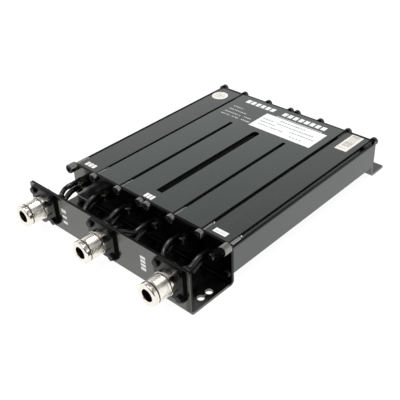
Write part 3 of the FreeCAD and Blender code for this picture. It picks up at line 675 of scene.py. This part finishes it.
def print_rows(recipe):
    """Rows of flat bars of uneven length along the layout's edges, in place of words."""
    tree = recipe.tree
    pitch = recipe.size("Pitch")
    lines = tree.node("GeometryNodeMeshToCurve", inputs=[recipe.size("Layout")])
    spots = tree.node("GeometryNodeResampleCurve", {"mode": "LENGTH"}, {"Curve": lines, "Length": pitch})
    share = tree.node("FunctionNodeRandomValue", {"data_type": "FLOAT"}, {
        2: recipe.size("Shortest"), 3: recipe.size("Longest"), "Seed": recipe.size("Seed"),
    }, out=1)
    across, along = [
        tree.node("GeometryNodeInputNamedAttribute", {"data_type": "FLOAT_VECTOR"}, {"Name": name})
        for name in ("across", "along")
    ]
    run = tree.node("ShaderNodeVectorMath", {"operation": "SCALE"}, {0: along, "Scale": share * pitch})
    size = tree.node("ShaderNodeVectorMath", {"operation": "ADD"}, [across, run])
    bar = tree.node("GeometryNodeMeshCube", inputs={"Size": (1.0, 1.0, 1.0)})
    return tree.node(
        "GeometryNodeInstanceOnPoints", inputs={"Points": spots, "Instance": bar, "Scale": size},
    )


HEX_HEADS = Recipe("hex_heads", {
    "Corner": 2.5, "Height": 2.0, "Washer": 0.35, "Washer height": 0.4, "Facing": 1.0, "Seed": 3,
}, hex_head)
HEX_NUTS = Recipe("hex_nuts", {
    "Corner": 4.2, "Height": 3.0, "Bore": 2.56, "Facing": 1.0, "Seed": 8,
}, hex_nut)
CAP_SCREWS = Recipe("cap_screws", {
    "Radius": 3.1, "Height": 3.0, "Knurl": 0.09, "Socket": 1.75, "Socket depth": 1.8,
    "Shank": 1.45, "Shank length": 13.7, "Plain length": 11.0, "Pitch": 0.6, "Facing": 1.0, "Seed": 5,
}, cap_screw)
TUNERS = Recipe("tuners", {
    "Radius": 2.45, "Length": 25.0, "Pitch": 0.75, "Slot": 0.8, "Slot depth": 1.2, "Facing": 1.0, "Seed": 2,
}, tuning_screw)
FERRULES = Recipe("ferrules", {
    "Radius": 1.9, "Length": 7.0, "Foot": 2.3, "Stub": 1.5, "Rings": 4, "Ring height": 0.12,
    "Facing": 1.0, "Seed": 4,
}, ferrule)
JACKETS = Recipe("jackets", {
    "Radius": 1.8, "Sides": 20, "Sleeve share": 0.13, "Sleeve height": 0.22,
}, jackets)
PRINT_ROWS = Recipe("print_rows", {"Pitch": 2.0, "Shortest": 0.6, "Longest": 0.9, "Seed": 7}, print_rows)


def points(spots):
    """A layout of loose points."""
    mesh = bpy.data.meshes.new("points")
    mesh.from_pydata(spots, [], [])
    return mesh


def edges(rows, along, across):
    """A layout of loose edges whose bars run along one axis and have a size across it."""
    mesh = bpy.data.meshes.new("edges")
    spots = [spot for row in rows for spot in row]
    mesh.from_pydata(spots, [(place, place + 1) for place in range(0, len(spots), 2)], [])
    for name, value in (("along", along), ("across", across)):
        field = mesh.attributes.new(name, "FLOAT_VECTOR", "POINT")
        field.data.foreach_set("vector", list(value) * len(spots))
    return mesh


def lathe(profile, across, along, height, sides, pitch, flats):
    """A closed ring of profile points turned about the -Y axis.

    A profile point is (radius, reach towards the viewer, depth of the thread there).
    flats is (first reach, last reach, half width).
    """
    vertices = []
    for side in range(sides):
        turn = 2 * math.pi * side / sides
        for radius, reach, depth in profile:
            wave = abs(2 * ((reach / pitch + side / sides) % 1.0) - 1)
            size = radius - depth * wave
            x = size * math.cos(turn)
            z = size * math.sin(turn)
            if flats[0] <= reach <= flats[1] and radius > flats[2]:
                x = max(-flats[2], min(flats[2], x))
            vertices.append(((across + x) * MM, (along - reach) * MM, (height + z) * MM))
    count = len(profile)
    faces = []
    for side in range(sides):
        after = (side + 1) % sides
        for place in range(count):
            following = (place + 1) % count
            faces.append((
                side * count + place, side * count + following,
                after * count + following, after * count + place,
            ))
    return vertices, faces


def joined(name, parts):
    """One mesh of several lists of vertices and faces."""
    vertices = []
    faces = []
    for some, loops in parts:
        start = len(vertices)
        vertices.extend(some)
        faces.extend(tuple(index + start for index in loop) for loop in loops)
    mesh = bpy.data.meshes.new(name)
    mesh.from_pydata(vertices, [], faces)
    mesh.validate()
    body = bmesh.new()
    body.from_mesh(mesh)
    bmesh.ops.recalc_face_normals(body, faces=body.faces)
    body.to_mesh(mesh)
    body.free()
    return from_data(name, mesh)


def socket_profile():
    """Outline of a socket's shell: radius, reach in front of the panel's face, depth of the thread."""
    mouth = SOCKET_REACH
    outline = [
        (3.65, -6.0), (6.7, -6.0), (7.0, -5.7), (7.0, 2.0), (8.1, 2.0), (8.35, 2.25), (8.35, 6.05),
        (8.15, 6.25), (7.5, 6.3), (7.45, 6.35), (7.45, 6.7), (7.5, 6.8), (7.8, 6.9),
    ]
    outline = [(radius, reach, 0.0) for radius, reach in outline]
    first = 7.0
    last = mouth - 4.1
    count = round((last - first) / 0.132)
    for place in range(count + 1):
        reach = first + (last - first) * place / count
        fade = min(1.0, (reach - first) / 1.0, (last - reach) / 1.0)
        outline.append((7.94, reach, 0.10 * fade))
    front = [
        (7.8, -3.95), (7.1, -3.9), (7.1, -3.25), (7.8, -3.2), (7.94, -3.0), (7.94, -0.85), (7.85, -0.6),
        (7.35, -0.1), (7.15, 0.0), (4.8, 0.0), (4.35, -0.3), (4.35, -1.2), (4.6, -1.5), (4.6, -9.3),
        (4.4, -9.5), (3.65, -9.5),
    ]
    return outline + [(radius, mouth + reach, 0.0) for radius, reach in front]


def make_sockets():
    """Nickel shells with their threads, in place of the CAD ones."""
    parts = [
        lathe(socket_profile(), across, PANEL_FACE, SOCKET_Z, 112, 1.058, (1.9, 6.3, 7.9))
        for across in SOCKET_X
    ]
    shells = shade(joined("socket_shells", parts), 32)
    settle(shells, "nickel", ROOT, ["connector_shell_%d" % number for number in (1, 2, 3)])


def make_fasteners():
    """Screws, nuts and sleeves in place of the CAD ones."""
    corners = [
        (across + sideways * FLANGE_SCREW, FLANGE_FACE, SOCKET_Z + upward * FLANGE_SCREW)
        for across in SOCKET_X for sideways in (-1, 1) for upward in (-1, 1)
    ]
    HEX_HEADS.make("flange_hex_screws", points(corners), "black_oxide", stands_for=["flange_screws"])
    upper = [(across, PLATE_FACE, UPPER_ROW) for across in COLUMN_X]
    lower = [(across, PLATE_FACE, LOWER_ROW) for across in COLUMN_X]
    CAP_SCREWS.make(
        "front_upper_screws", points(upper[1:-1]), "tie_steel", stands_for=["tie_screws_front_upper"],
    )
    CAP_SCREWS.make(
        "front_end_screws", points([upper[0], upper[-1]]), "tie_steel",
        {"Radius": 3.5, "Height": 6.0, "Socket": 2.1, "Socket depth": 3.0},
        stands_for=["tie_screws_front_upper"],
    )
    small = {"Radius": 2.5, "Height": 2.5, "Socket": 1.45, "Socket depth": 1.5}
    CAP_SCREWS.make(
        "front_lower_screws", points(lower), "black_oxide", small, stands_for=["tie_screws_front_lower"],
    )
    upper = [(across, REAR_FACE, UPPER_ROW) for across in COLUMN_X]
    lower = [(across, REAR_FACE, LOWER_ROW) for across in COLUMN_X]
    behind = {"Facing": -1.0}
    CAP_SCREWS.make(
        "rear_upper_screws", points(upper), "tie_steel", behind, stands_for=["tie_screws_rear_upper"],
    )
    CAP_SCREWS.make(
        "rear_lower_screws", points(lower), "black_oxide", {**small, **behind},
        stands_for=["tie_screws_rear_lower"],
    )
    rods = [(across, REAR_FACE, AXIS_Z) for across in CAVITY_X]
    CAP_SCREWS.make(
        "rod_screws", points(rods), "tie_steel",
        {"Radius": 3.5, "Height": 2.5, "Socket": 1.9, "Socket depth": 1.6, "Shank": 1.95,
         "Shank length": 12.0, "Plain length": 3.0, "Pitch": 0.7, **behind},
        stands_for=["resonator_screws"],
    )
    nuts = [(across, PLATE_FACE, AXIS_Z) for across in CAVITY_X]
    HEX_NUTS.make("clamp_nuts", points(nuts), "black_oxide", stands_for=["lock_nuts"])
    socket_nuts = [(across, PANEL_FACE + SHEET, SOCKET_Z) for across in SOCKET_X]
    HEX_NUTS.make(
        "socket_nuts", points(socket_nuts), "nickel",
        {"Corner": 10.6, "Height": 3.0, "Bore": 7.05, "Facing": -1.0}, stands_for=["connector_nuts"],
    )
    ports = [(across - PORT_SIDE, PLATE_FACE, level) for across in CAVITY_X for level in PORT_LEVELS]
    FERRULES.make("port_ferrules", points(ports), "black_oxide", stands_for=["port_bushes"])
    for number, across in enumerate(CAVITY_X, start=1):
        TUNERS.make(
            "tuner_rod_%d" % number, points([(across, PLATE_FACE - 5.5, AXIS_Z)]), "dull_brass",
            {"Seed": number}, body="tuner_%d" % number, stands_for=["tuning_screw_%d" % number],
        )


ROUTES = {
    "jumper_left_port": [
        (-61.3, -9.2, 21.0), (-61.3, -2.8, 21.0), (-65.6, -4.9, 13.7), (-72.5, 1.3, 12.4),
        (-73.5, 6.3, 16.1), (-71.3, 9.5, 17.8), (-71.3, 12.3, 17.8),
    ],
    "jumper_1_2": [
        (-71.3, 12.3, 12.8), (-71.3, 9.5, 12.8), (-70.4, 1.5, 8.0), (-57.6, -5.8, 6.4),
        (-45.7, 1.5, 8.0), (-45.7, 9.5, 12.8), (-45.7, 12.3, 12.8),
    ],
    "jumper_2_3": [
        (-45.7, 12.3, 17.8), (-45.7, 9.5, 17.8), (-45.7, 1.2, 12.6), (-33.8, -6.2, 10.9),
        (-21.0, 1.2, 12.6), (-20.1, 9.5, 17.8), (-20.1, 12.3, 17.8),
    ],
    "jumper_3_antenna": [
        (-20.1, 12.3, 12.8), (-20.1, 9.5, 12.8), (-19.0, 1.6, 8.5), (-6.7, -2.8, 13.7),
        (-2.4, -3.2, 21.0), (-2.4, -9.2, 21.0),
    ],
    "jumper_antenna_4": [
        (2.4, -9.2, 21.0), (2.4, -4.9, 21.0), (5.9, 2.6, 15.7), (6.5, 8.6, 17.8), (6.5, 12.3, 17.8),
    ],
    "jumper_4_5": [
        (6.5, 12.3, 12.8), (6.5, 9.5, 12.8), (6.3, 1.7, 8.3), (18.0, -5.3, 6.8), (31.0, 1.7, 8.3),
        (32.1, 9.5, 12.8), (32.1, 12.3, 12.8),
    ],
    "jumper_5_6": [
        (32.1, 12.3, 17.8), (32.1, 9.5, 17.8), (33.2, 1.5, 13.6), (46.2, -5.8, 12.2), (57.9, 1.5, 13.6),
        (57.7, 9.5, 17.8), (57.7, 12.3, 17.8),
    ],
    "jumper_right_port": [
        (57.7, 12.3, 12.8), (57.7, 9.5, 12.8), (58.3, 1.6, 8.5), (61.3, -2.8, 13.7),
        (61.3, -3.2, 21.0), (61.3, -9.2, 21.0),
    ],
}


def make_jumpers():
    """The coaxial jumpers as smooth tubes along their routes; both ends of each are held."""
    for name, route in ROUTES.items():
        layout = bpy.data.curves.new("route", "CURVE")
        layout.dimensions = "3D"
        line = layout.splines.new("NURBS")
        line.points.add(len(route) - 1)
        for point, spot in zip(line.points, route):
            point.co = (*spot, 1.0)
        line.order_u = 3
        line.use_endpoint_u = True
        line.resolution_u = 10
        JACKETS.make(name.replace("jumper", "cable"), layout, "cable_skin", angle=50, stands_for=[name])


def flat_rows(name, spans, level, depth, finish, sizes):
    """Printed bars that lie along X on a level; a span is (left, right, y from the cavities)."""
    rows = [((left, CAVITY_FRONT + y, level), (right, CAVITY_FRONT + y, level)) for left, right, y in spans]
    PRINT_ROWS.make(name, edges(rows, (1.0, 0.0, 0.0), (0.0, depth, INK_HEIGHT)), finish, sizes)


def make_prints():
    """Bars and blocks where the cover, the panel and the labels are printed."""
    on_label = COVER_TOP + LABEL_TOP
    on_strip = BLOCK_TOP + LABEL_TOP
    flat_rows(
        "middle_print", [(-3.7, 2.1, 3.7)], COVER_TOP, 4.6, "white_ink",
        {"Pitch": 2.9, "Shortest": 0.66, "Longest": 0.88, "Seed": 6},
    )
    whole = {"Pitch": 2.6, "Shortest": 1.04, "Longest": 1.05}
    flat_rows("end_patches", [(-67.6, -60.4, 4.9), (58.6, 66.4, 5.1)], BLOCK_TOP, 4.3, "white_ink", whole)
    flat_rows(
        "end_patch_marks", [(-67.8, -62.0, 5.6), (58.8, 66.4, 5.6), (59.4, 66.0, 4.2)],
        BLOCK_TOP + INK_HEIGHT, 0.8, "pale_ink",
        {"Pitch": 1.5, "Shortest": 0.3, "Longest": 0.8, "Seed": 12},
    )
    title = {"Pitch": 4.7, "Shortest": 0.76, "Longest": 0.9, "Seed": 31}
    flat_rows("first_title", [(-38.4, -13.2, 155.4)], COVER_TOP, 5.3, "white_ink", title)
    flat_rows("second_title", [(-0.6, 36.6, 155.2)], COVER_TOP, 5.3, "white_ink", {**title, "Seed": 44})
    flat_rows(
        "title_rule", [(-3.3, 37.4, 149.4)], COVER_TOP, 0.6, "white_ink", {**whole, "Pitch": 2.7},
    )
    notes = {"Pitch": 1.75, "Shortest": 0.45, "Longest": 0.98, "Seed": 9}
    flat_rows(
        "cover_notes",
        [(-43.0, -34.2, 141.9), (-43.0, -27.2, 136.7), (-43.4, -35.4, 131.5), (-33.2, -28.6, 131.5),
         (-24.4, -18.2, 132.1), (-43.2, -36.0, 126.8), (-32.8, -27.5, 127.0), (-23.4, -16.2, 127.3)],
        COVER_TOP, 1.35, "pale_ink", notes,
    )
    flat_rows(
        "label_marks",
        [(4.0, 26.0, 144.0), (-10.0, -2.0, 139.8), (4.0, 37.0, 139.2), (-9.0, 3.0, 135.2),
         (20.0, 40.0, 134.4), (-8.0, 14.0, 130.8), (24.0, 33.0, 128.4)],
        on_label, 1.3, "mid_ink", {**notes, "Pitch": 2.3, "Shortest": 0.6, "Seed": 21},
    )
    bars = edges(
        [((63.3, CAVITY_FRONT + 144.4, on_strip), (63.3, CAVITY_FRONT + 160.2, on_strip))],
        (0.0, 1.0, 0.0), (6.6, 0.0, INK_HEIGHT),
    )
    PRINT_ROWS.make(
        "strip_bars", bars, "mid_ink", {"Pitch": 1.5, "Shortest": 0.25, "Longest": 0.8, "Seed": 13},
    )
    flat_rows(
        "strip_notes", [(59.6, 65.6, 140.2)], on_strip, 1.1, "pale_ink",
        {"Pitch": 1.3, "Shortest": 0.4, "Longest": 0.9, "Seed": 5},
    )
    flat_rows(
        "round_notes", [(-68.4, -62.6, 151.6), (-69.6, -61.6, 149.3), (-68.6, -62.8, 147.0)], on_strip, 1.0,
        "mid_ink", {**notes, "Pitch": 1.4, "Seed": 17},
    )
    for place, (across, bottom, top) in enumerate(((-41.1, 14.4, 24.0), (37.3, 15.6, 24.6))):
        line = [((across, PANEL_FACE, bottom), (across, PANEL_FACE, top))]
        column = edges(line, (0.0, 0.0, 1.0), (4.6, INK_HEIGHT, 0.0))
        PRINT_ROWS.make(
            "panel_print_%d" % (place + 1), column, "white_ink",
            {"Pitch": 3.3 - 0.3 * place, "Shortest": 0.5, "Longest": 0.86, "Seed": 60 + place},
        )


def make_studio():
    """Pale floor, soft light and the camera."""
    bpy.ops.mesh.primitive_plane_add(size=9.0, location=(0.0, 0.0, -0.0002))
    floor = bpy.context.object
    floor.name = "studio_floor"
    white = bpy.data.materials.new("studio_white")
    white.use_nodes = True
    plain = white.node_tree.nodes["Principled BSDF"]
    plain.inputs["Base Color"].default_value = (0.13, 0.13, 0.13, 1.0)
    plain.inputs["Roughness"].default_value = 0.9
    plain.inputs["Specular IOR Level"].default_value = 0.0
    plain.inputs["Emission Color"].default_value = (1.0, 1.0, 1.0, 1.0)
    plain.inputs["Emission Strength"].default_value = 0.94
    floor.data.materials.append(white)

    world = bpy.data.worlds.new("studio_air")
    bpy.context.scene.world = world
    world.use_nodes = True
    world.node_tree.nodes.clear()
    tree = Tree(world.node_tree)
    way = tree.node("ShaderNodeTexCoord", out="Generated")
    height = tree.node("ShaderNodeSeparateXYZ", inputs=[way], out=2)
    air = tree.node("ShaderNodeValToRGB", {"stops": [
        (0.0, 1.0), (0.42, 1.0), (0.60, 0.42), (0.8, 0.30), (1.0, 0.40),
    ]}, [height])
    towards_cloth = tree.node(
        "ShaderNodeVectorMath", {"operation": "DOT_PRODUCT"}, [way, DARK_CLOTH], out=1,
    )
    cloth = tree.node("ShaderNodeValToRGB", {"stops": [(0.55, 1.0), (0.78, 0.10)]}, [towards_cloth])
    tree.node("ShaderNodeOutputWorld", inputs={
        "Surface": tree.node("ShaderNodeBackground", inputs={
            "Color": mix(tree, cloth, (0.03, 0.03, 0.03), air), "Strength": 1.05,
        }),
    })

    lamps = [
        ("overhead", (0.1, -0.1, 1.4), 1.2, 8.0, (0.0, 0.05, 0.0)),
        ("small_left", (-0.30, 0.05, 1.15), 0.28, 4.0, (0.0, 0.05, 0.0)),
        ("small_right", (0.42, -0.62, 1.15), 0.25, 2.5, (0.0, 0.05, 0.0)),
    ]
    for name, place, size, power, aim in lamps:
        lamp = bpy.data.lights.new(name, "AREA")
        lamp.size = size
        lamp.energy = power
        holder = from_data(name, lamp)
        holder.location = place
        holder.rotation_euler = (Vector(aim) - Vector(place)).to_track_quat("-Z", "Y").to_euler()

    azimuth = math.radians(44.306)
    elevation = math.radians(34.484)
    roll = math.radians(-2.615)
    distance = 0.51871
    target = Vector((-0.00052, 0.07354, 0.00254))
    level = math.cos(elevation)
    forward = Vector((-math.sin(azimuth) * level, math.cos(azimuth) * level, -math.sin(elevation)))
    right = Vector((math.cos(azimuth), math.sin(azimuth), 0.0))
    up = right.cross(forward)
    across = math.cos(roll) * right + math.sin(roll) * up
    upward = math.cos(roll) * up - math.sin(roll) * right
    lens = bpy.data.cameras.new("camera")
    lens.sensor_width = 36.0
    lens.lens = 62.86
    lens.clip_start = 0.01
    holder = from_data("camera", lens)
    spot = target - forward * distance
    holder.matrix_world = Matrix((
        (across.x, upward.x, -forward.x, spot.x),
        (across.y, upward.y, -forward.y, spot.y),
        (across.z, upward.z, -forward.z, spot.z),
        (0.0, 0.0, 0.0, 1.0),
    ))
    bpy.context.scene.camera = holder
    bpy.context.scene.view_settings.view_transform = "Standard"


CAD_FINISHES = {"coupling_loops": "silver", "white_label": "label_film",
                "round_label": "label_cream", "strip_label": "label_cream"}
for number in (1, 2, 3):
    CAD_FINISHES["insulator_%d" % number] = "socket_plastic"
    CAD_FINISHES["centre_contact_%d" % number] = "brass"
for number in range(1, 7):
    CAD_FINISHES["resonator_%d" % number] = "silver"

make_studio()
make_jumpers()
for name, finish in CAD_FINISHES.items():
    dress(name, finish)
make_sockets()
make_fasteners()
make_prints()
softened("cover", "cover_sheet", "cover_coat", 0.08)
softened("left_extrusion", "cavity_block_left", "extrusion_coat", 0.2)
softened("right_extrusion", "cavity_block_right", "extrusion_coat", 0.2)
softened("front_sheet", "front_bracket", "bracket_coat", 0.3)
softened("rear_sheet", "rear_bracket", "bracket_coat", 0.3)
for number in (1, 2, 3):
    softened("flange_%d" % number, "connector_flange_%d" % number, "flange_coat", 0.25)
